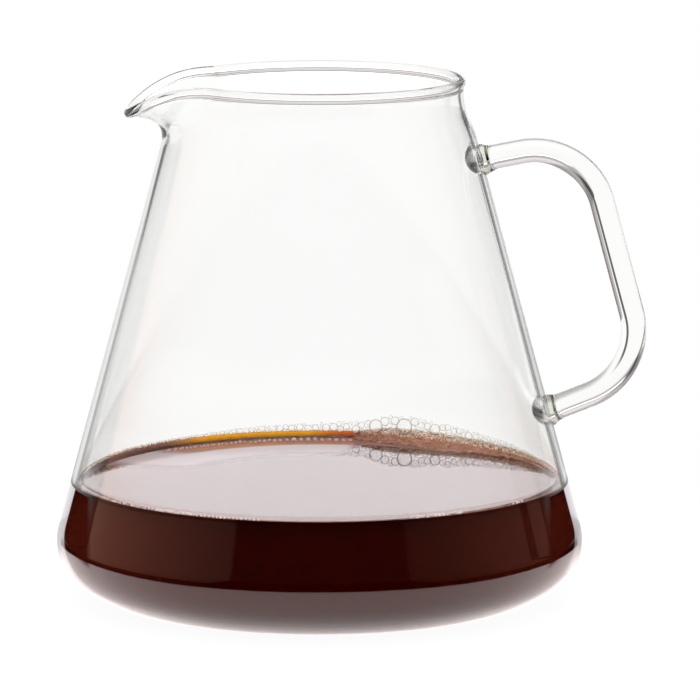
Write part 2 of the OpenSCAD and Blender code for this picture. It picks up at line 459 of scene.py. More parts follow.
# Far out at the sides, above the heel, the wet wall mirrors nothing but the dark room. The place where
# that starts rises towards the sides, in m
SIDE_GLOSS = (0.0635, 0.0655)
HEEL_GLOSS = (0.0143, 0.0163)
HEEL_GLOSS_RISE = 0.5


def glass_material(name, settings, tone, depth, wet_gloss=False):
    material, net = new_material(name)
    place = net.place()
    waves = place.grain(*WAVE_GRAIN)
    bump = net.node("ShaderNodeBump", {**WAVE_BUMP, "Height": waves})
    tint = waves.mix(*WAVE_TINTS)
    gloss = 0.0
    if wet_gloss:
        side = place.part("X").math("ABSOLUTE")
        height = place.part("Z") - HEEL_GLOSS_RISE * (side - SIDE_GLOSS[0])
        gloss = 1 - side.ease(*SIDE_GLOSS) * height.ease(*HEEL_GLOSS)
    inside = net.node("ShaderNodeVolumeAbsorption", {"Color": tone, "Density": depth})
    return dressed(material, net, {
        "Base Color": tint, "Roughness": 0.0, "Transmission Weight": 1.0, "Normal": bump,
        "Specular Tint": MIRROR_TINT, "Coat Weight": gloss, "Coat Roughness": 0.0, **settings,
    }, Volume=inside)


clear_glass = glass_material("clear_glass", {"IOR": GLASS_IOR}, OLIVE, CLEAR_DEPTH)
heel_glass = glass_material(
    "heel_glass", {"IOR": 1.0, "Coat IOR": WET_COAT_IOR}, LILAC, WET_DEPTH, True)
wet_glass = glass_material("wet_glass", {"IOR": 1.0}, LILAC, WET_DEPTH)
weld_glass = glass_material("weld_glass", {"IOR": GLASS_IOR}, OLIVE, WELD_DEPTH)
print("glass IOR:", GLASS_IOR)

# %% [markdown]
# ## The blown body
# The body is one skin of glass: out from the middle of the base, round the heel, up the wall, over the
# rim and back down the inside. A lathe would do for all but the spout. So the outline is a function of
# how far the lip is pulled out, and the skin is a grid of such outlines round the axis.

# %% Sizes of the glass, in mm
BODY_R = 75.0
WALL_LEAN = 15.0
WALL_T = 1.9
FLOOR_T = 3.0
HEEL_SIDE_R = 14.0
HEEL_UNDER_R = 28.0
HEEL_BLEND = 52.0
HEEL_INNER_R = 14.0
RIM_H = 148.05
RIM_R = 40.0
BEAD_R = 1.45
NECK_H = 17.05
SPOUT_REACH = 53.8
SPOUT_HALF = 43.0
SPOUT_DROP = 8.6
LIP_RISE = 5.0
NECK_IN_SHARE, NECK_OUT_SHARE = 0.35, 0.46
SPOUT_IN_SHARE, SPOUT_OUT_SHARE = 0.38, 0.45
SPOUT_FOOT_SHARE = 0.3
LIP_FALL_POWER = 2.35
COFFEE_LEVEL = 34.0
# The hot ends of the handle push the wall in a little where they are welded on
PAD_R = 4.4
PAD_DEPTH = 3.0
PAD_ROWS = 21
PAD_POWER = 0.7
# Steps of the outline's curves
HEEL_UNDER_STEPS, HEEL_SIDE_STEPS, HEEL_INNER_STEPS = 18, 24, 30
BEAD_STEPS, NECK_STEPS = 22, 20


def aim(angle):
    """A unit step in the plane of an outline, at an angle in degrees."""
    return np.array([math.cos(math.radians(angle)), math.sin(math.radians(angle))])


LEAN_COS, LEAN_SIN = aim(WALL_LEAN)
HEEL_STEP = (HEEL_UNDER_R - HEEL_SIDE_R) * aim(HEEL_BLEND)
HEEL_SIDE_C = np.array([BODY_R - HEEL_SIDE_R, HEEL_UNDER_R - HEEL_STEP[1]])
HEEL_UNDER_C = np.array([HEEL_SIDE_C[0] - HEEL_STEP[0], HEEL_UNDER_R])
WALL_REACH = HEEL_SIDE_C @ aim(WALL_LEAN) + HEEL_SIDE_R
NECK_BASE = RIM_H - NECK_H


def wall_r(z, inset=0.0):
    """Radius of the wall's outer face, or of a face that lies deeper by inset, at a height."""
    return (WALL_REACH - inset - z * LEAN_SIN) / LEAN_COS


WELD_R = 4.5
WELD_SPACING = 72.0
UPPER_WELD_GAP = 0.7
UPPER_RISE = 11.0
upper_weld_h = NECK_BASE - (WELD_R / aim(WALL_LEAN - UPPER_RISE)[0] + UPPER_WELD_GAP) * LEAN_COS
lower_weld_h = upper_weld_h - WELD_SPACING
WELD_HEIGHTS = (upper_weld_h, lower_weld_h)

heel_inner_h = FLOOR_T + HEEL_INNER_R
HEEL_INNER_C = np.array([wall_r(heel_inner_h, WALL_T + HEEL_INNER_R), heel_inner_h])
print("wall radius at the neck in mm:", round(wall_r(NECK_BASE), 2))

# %% Outline of the glass


def arc(centre, radius, start, end, steps):
    return [centre + radius * aim(a) for a in np.linspace(start, end, steps + 1)]


def bezier(a, b, c, d, steps):
    t = np.linspace(0, 1, steps + 1)[:, None]
    return list((1 - t) ** 3 * a + 3 * (1 - t) ** 2 * t * b + 3 * (1 - t) * t ** 2 * c + t ** 3 * d)


def between(a, b, share):
    return a + (b - a) * share


def neck_outline(flare):
    """Outer face, bead and inner face of the neck: the plain rim at flare 0, the spout's tip at 1."""
    lip = np.array([between(RIM_R, SPOUT_REACH, flare), RIM_H - SPOUT_DROP * flare ** LIP_FALL_POWER])
    heading = between(90, LIP_RISE, flare)
    seat = 180 - math.degrees(math.asin(WALL_T / 2 / BEAD_R))
    bead = arc(lip, BEAD_R, heading - seat, heading + seat, BEAD_STEPS)
    pull = SPOUT_REACH - RIM_R
    run_in = between(NECK_IN_SHARE * NECK_H, SPOUT_IN_SHARE * pull, flare) * aim(90 + WALL_LEAN)
    run_out = between(NECK_OUT_SHARE * NECK_H, SPOUT_OUT_SHARE * pull, flare) * aim(heading)
    outer = np.array([wall_r(NECK_BASE), NECK_BASE])
    inner = np.array([wall_r(NECK_BASE, WALL_T), NECK_BASE])
    rise = bezier(outer, outer + run_in, bead[0] - run_out, bead[0], NECK_STEPS)
    fall = bezier(bead[-1], bead[-1] - run_out, inner + run_in, inner, NECK_STEPS)
    return rise[:-1] + bead + fall[1:]


def lip_flare(angle):
    """How far the lip has left the rim circle at an angle from the spout's middle, in degrees."""
    pull = max(math.cos(math.pi / 2 * min(abs(angle) / SPOUT_HALF, 1)), 0)
    return (1 + SPOUT_FOOT_SHARE) * pull ** 2 / (pull + SPOUT_FOOT_SHARE)


def pad_depth(z, angle):
    """How far the inner face is pushed in at a height and an angle from the spout, in degrees."""
    across = wall_r(z, WALL_T) * math.radians(angle - 180)
    depth = 0.0
    for centre in WELD_HEIGHTS:
        apart = math.hypot(across, (z - centre) / LEAN_COS) / PAD_R
        depth += PAD_DEPTH * max(1 - apart ** 2, 0) ** PAD_POWER
    return depth


def inner_wall(angle):
    """Inner face between the neck and the coffee, with close rows where the handle's ends push it in."""
    heights = [c + PAD_R * LEAN_COS * k for c in WELD_HEIGHTS for k in np.linspace(1, -1, PAD_ROWS)]
    heights.append(COFFEE_LEVEL)
    return [
        np.array([wall_r(z, WALL_T), z]) - pad_depth(z, angle) * aim(WALL_LEAN) for z in heights
    ]


def glass_outline(angle):
    """The whole skin at an angle from the spout: from the base up the outside and back inside."""
    return np.array(
        arc(HEEL_UNDER_C, HEEL_UNDER_R, -90, -HEEL_BLEND, HEEL_UNDER_STEPS)
        + arc(HEEL_SIDE_C, HEEL_SIDE_R, -HEEL_BLEND, WALL_LEAN, HEEL_SIDE_STEPS)[1:]
        + [np.array([wall_r(COFFEE_LEVEL), COFFEE_LEVEL])]
        + neck_outline(lip_flare(angle))
        + inner_wall(angle)
        + arc(HEEL_INNER_C, HEEL_INNER_R, WALL_LEAN, -90, HEEL_INNER_STEPS)
    )


WET_ROWS_OUTSIDE = HEEL_UNDER_STEPS + HEEL_SIDE_STEPS + 1
WET_ROWS_INSIDE = HEEL_INNER_STEPS + 1
print("points in one outline:", len(glass_outline(0)))

# %% Mesh helpers


def new_piece(name, points, faces, materials, pattern=(0,)):
    """A smooth mesh object at the origin, from points in mm, with its faces turned outwards. The pattern
    numbers the materials of one column's faces, and it repeats."""
    mesh = bpy.data.meshes.new(name)
    mesh.from_pydata((np.asarray(points) * MM).tolist(), [], faces)
    for material in materials:
        mesh.materials.append(material)
    mesh.polygons.foreach_set("material_index", list(pattern) * (len(faces) // len(pattern)))
    mesh.shade_smooth()
    mesh.update()
    piece = add_object(name, mesh)
    if volume(mesh) < 0:
        mesh.flip_normals()
    return piece


def volume(mesh):
    """Signed volume of a closed mesh, which is negative where its faces point inwards."""
    solid = bmesh.new()
    solid.from_mesh(mesh)
    size = solid.calc_volume(signed=True)
    solid.free()
    return size


def turned(outline, way):
    """Points of an outline of radii and heights, in the direction of a unit step."""
    return [(r * way[0], r * way[1], z) for r, z in outline]


def lathe_points(outline, columns):
    angles = np.linspace(0, 360, columns, endpoint=False)
    return [point for angle in angles for point in turned(outline, aim(angle))]


def lathe_faces(columns, rows):
    """Faces of a grid that closes round the axis, with a point at each end of its columns."""
    faces = []
    low, high = columns * rows, columns * rows + 1
    for i in range(columns):
        a, b = i * rows, (i + 1) % columns * rows
        faces += [(a + j, b + j, b + j + 1, a + j + 1) for j in range(rows - 1)]
        faces += [(low, b, a), (high, a + rows - 1, b + rows - 1)]
    return faces


# %% Blown body
# Columns of the skin: from one angle to the next, in degrees from the spout's middle, in equal steps
COLUMN_RUNS = ((-43, 43, 120), (43, 172, 104), (172, 188, 40), (188, 317, 104))


def blown_body():
    points = []
    for angle in np.concatenate([np.linspace(a, b, n, endpoint=False) for a, b, n in COLUMN_RUNS]):
        points += turned(glass_outline(angle), -aim(angle))
    rows = len(glass_outline(0))
    columns = len(points) // rows
    points += [(0, 0, 0), (0, 0, FLOOR_T)]
    pattern = [1] * WET_ROWS_OUTSIDE + [0] * (rows - 1 - WET_ROWS_OUTSIDE - WET_ROWS_INSIDE)
    pattern += [2] * WET_ROWS_INSIDE + [1, 2]
    glasses = (clear_glass, heel_glass, wet_glass)
    return new_piece("glass_body", points, lathe_faces(columns, rows), glasses, pattern)


glass_body = blown_body()
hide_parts("base", "body_wall", "neck_rim", "pouring_spout")
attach(glass_body, "root")
print("glass body in ml of glass:", round(volume(glass_body.data) * 1e6, 1))

# %% [markdown]
# ## The handle
# The handle is one solid rod, bent twice, whose two ends were melted onto the wall. Each end spreads
# into a short gather there. The rod is a tube of rings along its centre line, and each ring line of
# the two arms starts on the cone of the wall, so the gathers sit on the glass all round.

# %% Handle
ROD_R = 3.6
HANDLE_REACH = 30.7
LOWER_RISE = 21.5
BEND_R = 20.0
WELD_L = 2.6
SEAT_GAP = 0.02
ROD_SIDES = 48
# Rows at each end of the rod that are worked into the weld, where the glass looks darker
COLLAR_ROWS = 10
# Steps of an arm, a bend and the grip, how they crowd at the wall, and how fast the foot narrows
ARM_STEPS, BEND_STEPS, GRIP_STEPS = 24, 32, 12
ARM_POWER = 1.8
FOOT_FALL = 1.6
CAP_SHARES = (0.0, 0.3, 0.6, 0.85)
SEAT_ROUNDS = 4

turns = np.linspace(0, 2 * math.pi, ROD_SIDES, endpoint=False)


def ring(centre, heading, radius):
    """Points round the rod at one stop of its centre line, in the plane square to its heading."""
    across = aim(heading + 90)
    x, z = np.transpose(centre)
    spread, lift = radius * np.cos(turns), radius * np.sin(turns)
    return np.column_stack([x + spread * across[0], lift, z + spread * across[1]])


def arm_rings(height, rise, heading, length):
    """Rings of one arm, from the wall outwards, with the gather's foot seated on the wall."""
    foot = np.array([wall_r(height), height])

    def at(start, share, radius):
        along = start + (length - start) * share
        return ring(foot + along[:, None] * aim(rise), heading, radius)

    def seat(radius):
        start = np.zeros(ROD_SIDES)
        for _ in range(SEAT_ROUNDS):
            p = at(start, 0, radius)
            depth = np.hypot(p[:, 0], p[:, 1]) * LEAN_COS + p[:, 2] * LEAN_SIN - WALL_REACH - SEAT_GAP
            start = start - depth / aim(WALL_LEAN - rise)[0]
        return start

    cap = [at(seat(WELD_R * k), 0, WELD_R * k) for k in CAP_SHARES]
    start = seat(WELD_R)
    shares = np.linspace(0, 1, ARM_STEPS + 1) ** ARM_POWER
    falls = [math.exp(-((s * length / WELD_L * FOOT_FALL) ** 2)) for s in shares]
    flare = [ROD_R + (WELD_R - ROD_R) * fall for fall in falls]
    return cap + [at(start, s, r) for s, r in zip(shares, flare)]


def corner(height, rise):
    run = HANDLE_REACH / (1 + math.tan(math.radians(rise)) * math.tan(math.radians(WALL_LEAN)))
    return np.array([wall_r(height) + run, height + run * math.tan(math.radians(rise))])


def bend(at, heading, next_heading):
    turn = heading - next_heading
    start = at - BEND_R * math.tan(math.radians(turn / 2)) * aim(heading)
    centre = start + BEND_R * aim(heading - 90)
    headings = np.linspace(heading, next_heading, BEND_STEPS + 1)
    return [(centre + BEND_R * aim(h + 90), h) for h in headings]


def rod_handle():
    grip = WALL_LEAN - 90
    back = LOWER_RISE - 180
    upper = bend(corner(upper_weld_h, UPPER_RISE), UPPER_RISE, grip)
    lower = bend(corner(lower_weld_h, LOWER_RISE), grip, back)
    upper_l = np.linalg.norm(upper[0][0] - [wall_r(upper_weld_h), upper_weld_h])
    lower_l = np.linalg.norm(lower[-1][0] - [wall_r(lower_weld_h), lower_weld_h])
    rings = arm_rings(upper_weld_h, UPPER_RISE, UPPER_RISE, upper_l)
    shares = np.linspace(0, 1, GRIP_STEPS)[1:-1]
    grip_stops = [(between(upper[-1][0], lower[0][0], k), grip) for k in shares]
    rings += [ring(c, h, ROD_R) for c, h in upper[1:] + grip_stops + lower[:-1]]
    rings += arm_rings(lower_weld_h, LOWER_RISE, back, lower_l)[::-1]
    ends = [rings[0][0], rings[-1][0]]
    rings = rings[1:-1]
    points = [p for column in zip(*rings) for p in column] + ends
    collar = [1] * COLLAR_ROWS
    pattern = collar + [0] * (len(rings) - 1 - 2 * COLLAR_ROWS) + collar + [1, 1]
    faces = lathe_faces(ROD_SIDES, len(rings))
    return new_piece("handle", points, faces, (clear_glass, weld_glass), pattern)


handle = rod_handle()
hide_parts("handle_rod", "upper_handle_weld", "lower_handle_weld")
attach(handle, "root")
print("handle in ml of glass:", round(volume(handle.data) * 1e6, 2))

# %% [markdown]
# ## The coffee
# Black coffee lets no light through at this depth. What shows is a little red-brown from its fine
# grounds. Only its top has a gloss, because its sides lie against the glass. A liquid that wets its
# vessel climbs the wall, so the top is flat in the middle and rises to the glass in a steep curve.

# %% Coffee material
# The coffee is painted a little redder and brighter towards the sides and low in the heel: a painted
# glow, as of light through a thin layer there. Bounds in m
PAINTED_EDGE_GLOW = (0.02, 0.066)
PAINTED_HEEL_GLOW = (0.0135, 0.0165)
# A ring near the back wall is painted brown and made less glossy, partly a scum and partly a painted
# reflection of the film: where it starts and ends, in m
SCUM_IN, SCUM_OUT = (0.0555, 0.0585), (0.0664, 0.0668)
SCUM_TURN = (-50, -38)
SCUM_BACK = (0.04, 0.045)
# Inside that ring, where no raft floats, the coffee's top is painted a pale lilac and made less glossy:
# a painted sheen
PAINTED_SHEEN_IN, PAINTED_SHEEN_BACK = (0.036, 0.046), (0.015, 0.025)
PAINTED_SHEEN_TURNS = ((-75, -60), (6, 14))
# Gloss lost under the scum ring and the painted sheen, and their colours; the ring's is partly a painted
# reflection of the film
COAT_LOSS = 0.6
SCUM_AND_REFLECTION_COLOUR, PAINTED_SHEEN_COLOUR = (0.26, 0.14, 0.12, 1), (0.42, 0.365, 0.375, 1)
DARK_COFFEE = ((0.021, 0.0004, 0.0001, 1), (0.026, 0.0006, 0.0002, 1))
# Colour of the painted glow at the coffee's sides and low in its heel
PAINTED_GLOW_COFFEE = (0.052, 0.0068, 0.0028, 1)
COFFEE_GRAIN = (60.0, 2.0)
COFFEE_BUMP = {"Strength": 0.02, "Distance": 0.0005}


def coffee_material(name, gloss):
    material, net = new_material(name)
    place = net.place()
    cloud = place.grain(*COFFEE_GRAIN)
    dark = cloud.mix(*DARK_COFFEE)
    # Painted glow towards the sides and low in the heel
    painted_glow_sides = place.part("X").math("ABSOLUTE").ease(*PAINTED_EDGE_GLOW)
    painted_glow_heel = 1 - place.part("Z").ease(*PAINTED_HEEL_GLOW)
    brown = painted_glow_sides.math("MAXIMUM", painted_glow_heel).mix(dark, PAINTED_GLOW_COFFEE)
    along_y, out, turn = place.part("Y"), place.out(), place.turn()
    # Ring partly of scum and partly a painted reflection of the film: painted brown, with less gloss
    scum_and_painted_reflection = gloss * turn.ease(*SCUM_TURN) * along_y.ease(*SCUM_BACK)
    scum_and_painted_reflection = scum_and_painted_reflection * out.ease(*SCUM_IN) * (1 - out.ease(*SCUM_OUT))
    # Painted sheen inside the ring: pale lilac, with less gloss
    painted_sheen = gloss * (1 - scum_and_painted_reflection) * out.ease(*PAINTED_SHEEN_IN) * along_y.ease(*PAINTED_SHEEN_BACK) * (1 - out.ease(*SCUM_OUT))
    painted_sheen = painted_sheen * turn.ease(*PAINTED_SHEEN_TURNS[0]) * (1 - turn.ease(*PAINTED_SHEEN_TURNS[1]))
    bump = net.node("ShaderNodeBump", {**COFFEE_BUMP, "Height": cloud})
    return dressed(material, net, {
        "Base Color": painted_sheen.mix(scum_and_painted_reflection.mix(brown, SCUM_AND_REFLECTION_COLOUR), PAINTED_SHEEN_COLOUR),
        "Roughness": 0.02,
        "Specular IOR Level": 0.0,
        "Coat Weight": gloss - COAT_LOSS * (scum_and_painted_reflection + painted_sheen),
        "Coat Roughness": 0.01,
        "Coat IOR": 1.5,
        "Normal": bump,
    })


black_coffee = coffee_material("black_coffee", 0.0)
coffee_top = coffee_material("coffee_top", 1.0)
print("coffee materials:", black_coffee.name, coffee_top.name)

# %% Coffee
COFFEE_GAP = 0.15
COFFEE_COLUMNS = 240
# The flat middle of the top, how far the edge climbs, and how quickly that dies away from the wall
FLAT_LEVEL = 33.8
CLIMB_H = 2.2
CLIMB_L = 1.0
# Nearer to the wall than this, the coffee is thin enough to let light through
FILM_W = 1.3
# Rows of the top: close ones near the wall, over this width, and two at shares of the way to the middle
EDGE_W, EDGE_ROWS = 16, 18
MIDDLE_SHARES = (0.6, 0.25)


def climb(apart):
    """Height of the coffee's top at a distance from the wall."""
    return FLAT_LEVEL + CLIMB_H * math.exp(-apart / CLIMB_L)


def top_point(apart):
    return np.array([wall_r(climb(apart), WALL_T) - apart, climb(apart)])


def poured_coffee():
    side_top = np.array([wall_r(climb(FILM_W), WALL_T + COFFEE_GAP), climb(FILM_W)])
    outline = arc(HEEL_INNER_C, HEEL_INNER_R - COFFEE_GAP, -90, WALL_LEAN, HEEL_INNER_STEPS)
    outline.append(side_top)
    side_rows = len(outline) - 1
    outline += [top_point(FILM_W + EDGE_W * k ** 2) for k in np.linspace(0, 1, EDGE_ROWS)]
    outline += [outline[-1] * [share, 1] for share in MIDDLE_SHARES]
    points = lathe_points(outline, COFFEE_COLUMNS)
    points += [(0, 0, FLOOR_T + COFFEE_GAP), (0, 0, outline[-1][1])]
    faces = lathe_faces(COFFEE_COLUMNS, len(outline))
    pattern = [0] * side_rows + [1] * (len(outline) - 1 - side_rows) + [0, 1]
    return new_piece("coffee_fill", points, faces, (black_coffee, coffee_top), pattern)


coffee_fill = poured_coffee()
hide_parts("coffee")
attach(coffee_fill, "root")
print("coffee in ml:", round(volume(coffee_fill.data) * 1e6))

# %% [markdown]
# ## The film at the coffee's edge
# The last bit of that curve is a thin wedge of coffee on the glass, a ring of its own, and light passes
# it.
# Its colour is painted by direction, for the light it takes: amber straight behind, redder towards the
# foam and brown where the light comes in from the side. It is darker at its thick foot. In front it is
# painted pink, a painted reflection of the light that comes back off the coffee.

# %% Coffee film
FILM_COLUMNS = 240
FILM_STEPS = 12
FILM_GAP = 0.03
# Painted colours of the film, for the light it takes: on the left, straight behind, towards the foam,
# and in front, where the pink is a painted reflection
FILM_BROWN, FILM_AMBER = (0.25, 0.11, 0.085, 1), (0.9, 0.37, 0.012, 1)
FILM_RED, PAINTED_FILM_REFLECTION = (0.66, 0.12, 0.015, 1), (0.93, 0.85, 0.85, 1)
# Directions in degrees between which one colour turns into the next, and heights over the film's foot
TO_AMBER, TO_RED, TO_FRONT = (-44, -28), (-5, 6), (86, 96)
FOOT_H = (0.1, 1.2)
# How bright the film is at its foot, and how much its streaks add or take away
FOOT_LEVEL, STREAK_LEVEL = 0.5, 0.3
STREAK_GRAIN = (400.0, 2.0)


def film_material():
    material, net = new_material("coffee_film")
    place = net.place()
    streaks, turn = place.grain(*STREAK_GRAIN), place.turn()
    # The film's colour is painted by direction, for the light that it takes there
    back = turn.ease(*TO_RED).mix(turn.ease(*TO_AMBER).mix(FILM_BROWN, FILM_AMBER), FILM_RED)
    height = (place.part("Z") / MM - climb(FILM_W)).ease(*FOOT_H)
    deep = back * (FOOT_LEVEL + (1 - FOOT_LEVEL) * height + STREAK_LEVEL * (streaks - 0.5))
    colour = turn.math("ABSOLUTE").ease(*TO_FRONT).mix(deep, PAINTED_FILM_REFLECTION)
    return dressed(material, net, {
        "Base Color": colour, "Roughness": 0.0, "Transmission Weight": 1.0, "IOR": 1.0,
        "Coat Weight": 1.0, "Coat IOR": 1.33, "Coat Roughness": 0.0})


def film_loop():
    """Outline of the film: up the hollow face of the wedge, and back down along the wall."""
    hollow = [top_point(FILM_W * (1 - k) + FILM_GAP) for k in np.linspace(0, 1, FILM_STEPS)]
    wall = [np.array([wall_r(z, WALL_T + FILM_GAP / 2), z]) for _, z in hollow[::-1]]
    lift = np.array([0, FILM_GAP])
    return [p + lift for p in hollow + wall]


def ring_faces(columns, rows):
    """Faces of a grid that closes round the axis and round its own outline."""
    grid = [[i * rows + j for j in range(rows)] for i in range(columns)]
    return [
        (grid[i][j], grid[i][j - 1], grid[i - 1][j - 1], grid[i - 1][j])
        for i in range(columns) for j in range(rows)
    ]


def coffee_film():
    loop = film_loop()
    points = lathe_points(loop, FILM_COLUMNS)
    return new_piece("coffee_film", points, ring_faces(FILM_COLUMNS, len(loop)), [film_material()])


film = coffee_film()
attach(film, "root")
print("film in ml:", round(volume(film.data) * 1e6, 2))

# %% [markdown]
# ## The foam
# Pouring beats air into the coffee, and the bubbles drift together. Here they have piled up against the
# wall at the back right: a low brown sheet of fine bubbles with a heap of larger ones along the glass.
# The sheet is a swept mesh whose width and height are given at a few stops. The bubbles on it are
# scattered by Geometry Nodes, because there are far too many to place by hand.

# %% Foam materials
# Heights over the coffee, in mm, between which the foam turns pale, and those of the painted shade
# at the raft's foot
PALE_LIFT = (1.2, 3.4)
TOE_LIFT = (0.1, 0.7)
TOE_SHADE = 0.7
# A bubble's outline, low and high on the heap, and how dense it is
OUTLINE_LOW, OUTLINE_HIGH = (0.3, 0.15, 0.07, 1), (0.42, 0.34, 0.27, 1)
OUTLINE_DENSITY = 0.9
OUTLINE_SIGHT = (0.38, 0.7)
# Streaks run along the raft: their fineness outwards, around and upwards, and their contrast
STREAK_OUT, STREAK_ROUND, STREAK_UP = 1600, 22, 900
STREAK_BOUNDS = (0.35, 0.65)
SPECKLE_GRAIN = (700.0, 2.0)
SPECKLE_H = 2.5
# Each foam: its colours low and high, its share of streaks, how dense its bubbles are in the middle, low
# and high, and how strong their outline is
FOAMS = {
    "raft_foam": ((0.25, 0.08, 0.045, 1), (0.55, 0.28, 0.17, 1), 0.8, (1.0, 1.0), 0.0),
    "cell_foam": ((0.4, 0.17, 0.1, 1), (0.92, 0.8, 0.64, 1), 0.1, (1.0, 1.0), 0.85),
    "wall_bubble": ((0.95, 0.8, 0.6, 1), (0.98, 0.97, 0.95, 1), 0.0, (0.8, 0.1), 0.9),
    "scum_bubble": ((0.6, 0.4, 0.34, 1), (0.8, 0.65, 0.6, 1), 0.0, (0.9, 0.9), 0.9),
    "froth": ((0.94, 0.9, 0.88, 1), (0.98, 0.97, 0.96, 1), 0.0, (1.0, 1.0), 0.5),
}


def foam_material(name, low, high, streaked, cores, outline):
    """Foam from brown near the coffee to pale on top. Each bubble is darker and denser at its outline."""
    material, net = new_material(name)
    place = net.place()
    around = place.part("X").math("ARCTAN2", place.part("Y"))
    swept = net.node("ShaderNodeCombineXYZ", {
        "X": place.out() * STREAK_OUT, "Y": around * STREAK_ROUND, "Z": place.part("Z") * STREAK_UP})
    streak, speckle = swept.grain(1.0, 3.0), place.grain(*SPECKLE_GRAIN)
    lift = place.part("Z") / MM - FLAT_LEVEL
    uneven = lift + (speckle - 0.5) * SPECKLE_H
    pattern = streak.ease(*STREAK_BOUNDS) * streaked + uneven.ease(*PALE_LIFT) * (1 - streaked)
    edge = net.facing().ease(*OUTLINE_SIGHT)
    line = lift.ease(*PALE_LIFT).mix(OUTLINE_LOW, OUTLINE_HIGH)
    # Painted shade along the raft's foot, where it meets the coffee
    foot = TOE_SHADE * (1 - uneven.ease(*TOE_LIFT)) * streaked
    core = lift.ease(*PALE_LIFT) * (cores[1] - cores[0]) + cores[0]
    return dressed(material, net, {
        "Base Color": (edge * outline).mix(pattern.mix(low, high), line) * (1 - foot),
        "Roughness": speckle * 0.2 + 0.2,
        "Alpha": core + (1 - core) * edge * OUTLINE_DENSITY,
    })


foams = {name: foam_material(name, *row) for name, row in FOAMS.items()}
print("foam materials:", list(foams))

# %% Foam raft
# Stops of the raft: direction in degrees from straight behind towards the handle, distance of its inner
# edge from the axis, and height of its heap at the wall, in mm
RAFT_STOPS = np.array([
    (8.5, 66.0, 0.7), (10.7, 63.8, 1.5), (16, 61.8, 2.4), (22.3, 60.4, 2.6), (30, 58.8, 2.3),
    (38, 58.0, 1.9), (47, 62.0, 1.6), (59.4, 65.8, 1.2), (75, 66.8, 0.6), (90, 67.4, 0.2),
])
RAFT_ROWS = 150
RAFT_STEPS = 26
SHEET_H = 0.35
RAFT_GAP = 0.1
# The sheet gets thicker towards the wall by this much, and the heap rises between two shares of the way
SHEET_GROWTH, HEAP_SHARES = 0.5, (0.4, 0.9)
# Swells of the top: their height, least share, and fineness along and across the raft
SWELL_H, SWELL_LEAST, SWELL_ALONG, SWELL_ACROSS = 0.2, 0.4, 0.9, 9
TOE_SHARE, LEAST_H = 0.06, 0.03
UNDER_ROWS = 7


def smooth(x, low, high):
    k = min(max((x - low) / (high - low), 0), 1)
    return k * k * (3 - 2 * k)


def raft_at(turn):
    """Inner edge and heap height of the raft at a direction."""
    return [np.interp(turn, RAFT_STOPS[:, 0], RAFT_STOPS[:, k]) for k in (1, 2)]


def raft_height(share, crest):
    """Height of the raft over the coffee at a share of the way from its inner edge to the wall."""
    return SHEET_H + SHEET_GROWTH * share + crest * smooth(share, *HEAP_SHARES)


def raft_loop(turn):
    """Outline of the raft across its length: along the coffee to the wall, and back over its top."""
    toe, crest = raft_at(turn)
    floor_z = FLAT_LEVEL + RAFT_GAP / 4
    wall = wall_r(COFFEE_LEVEL, WALL_T + RAFT_GAP)
    loop = [(between(toe, wall, s), floor_z) for s in np.linspace(0, 1, UNDER_ROWS)[:-1]]
    for s in np.linspace(1, 0, RAFT_STEPS):
        swell = noise.noise(Vector((turn * SWELL_ALONG, s * SWELL_ACROSS, 0)))
        swell *= SWELL_H * (SWELL_LEAST + s)
        top = math.sqrt(min(s / TOE_SHARE, 1)) * (raft_height(s, crest) + swell)
        z = floor_z + max(top, LEAST_H)
        loop.append((between(toe, wall_r(z, WALL_T + RAFT_GAP), s), z))
    return turned(loop, aim(90 - turn))


def foam_raft():
    rings = [raft_loop(turn) for turn in np.linspace(RAFT_STOPS[0, 0], RAFT_STOPS[-1, 0], RAFT_ROWS)]
    ends = [np.mean(rings[k], axis=0) for k in (0, -1)]
    points = [p for column in zip(*rings) for p in column] + ends
    return new_piece("foam_raft", points, lathe_faces(len(rings[0]), RAFT_ROWS), [foams["raft_foam"]])


raft = foam_raft()
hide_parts("foam")
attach(raft, "root")
print("raft in ml:", round(volume(raft.data) * 1e6, 2))

# %% Node groups for bubbles


def bubble_group(name, sizes):
    """An empty Geometry Nodes group with named sizes, a seed and a material, and its inputs as wires."""
    tree = bpy.data.node_groups.new(name, "GeometryNodeTree")
    kinds = {"Geometry": "Geometry", **dict.fromkeys(sizes, "Float")}
    kinds |= {"Seed": "Int", "Roundness": "Int", "Material": "Material"}
    for socket, kind in kinds.items():
        tree.interface.new_socket(socket, in_out="INPUT", socket_type="NodeSocket" + kind)
    tree.interface.new_socket("Geometry", in_out="OUTPUT", socket_type="NodeSocketGeometry")
    given = tree.nodes.new("NodeGroupInput")
    return tree, Wire(tree), {s.name: Wire(tree, s) for s in given.outputs if s.name}


def chance(net, low, high, seed):
    """A random number for each point."""
    return net.node("FunctionNodeRandomValue", {2: low, 3: high, 8: seed}, 1, data_type="FLOAT")


def finish_bubbles(net, points, radius, given):
    """Puts a ball on each point and ends the group."""
    ball = net.node("GeometryNodeMeshIcoSphere", {"Radius": 1.0, "Subdivisions": given["Roundness"]})
    placed = net.node("GeometryNodeInstanceOnPoints", {
        "Points": points, "Instance": ball, "Scale": radius})
    smoothed = net.node("GeometryNodeSetShadeSmooth", {"Geometry": net.node(
        "GeometryNodeRealizeInstances", {"Geometry": placed})})
    done = net.node("GeometryNodeSetMaterial", {"Geometry": smoothed, "Material": given["Material"]})
    net.node("NodeGroupOutput", {0: done})


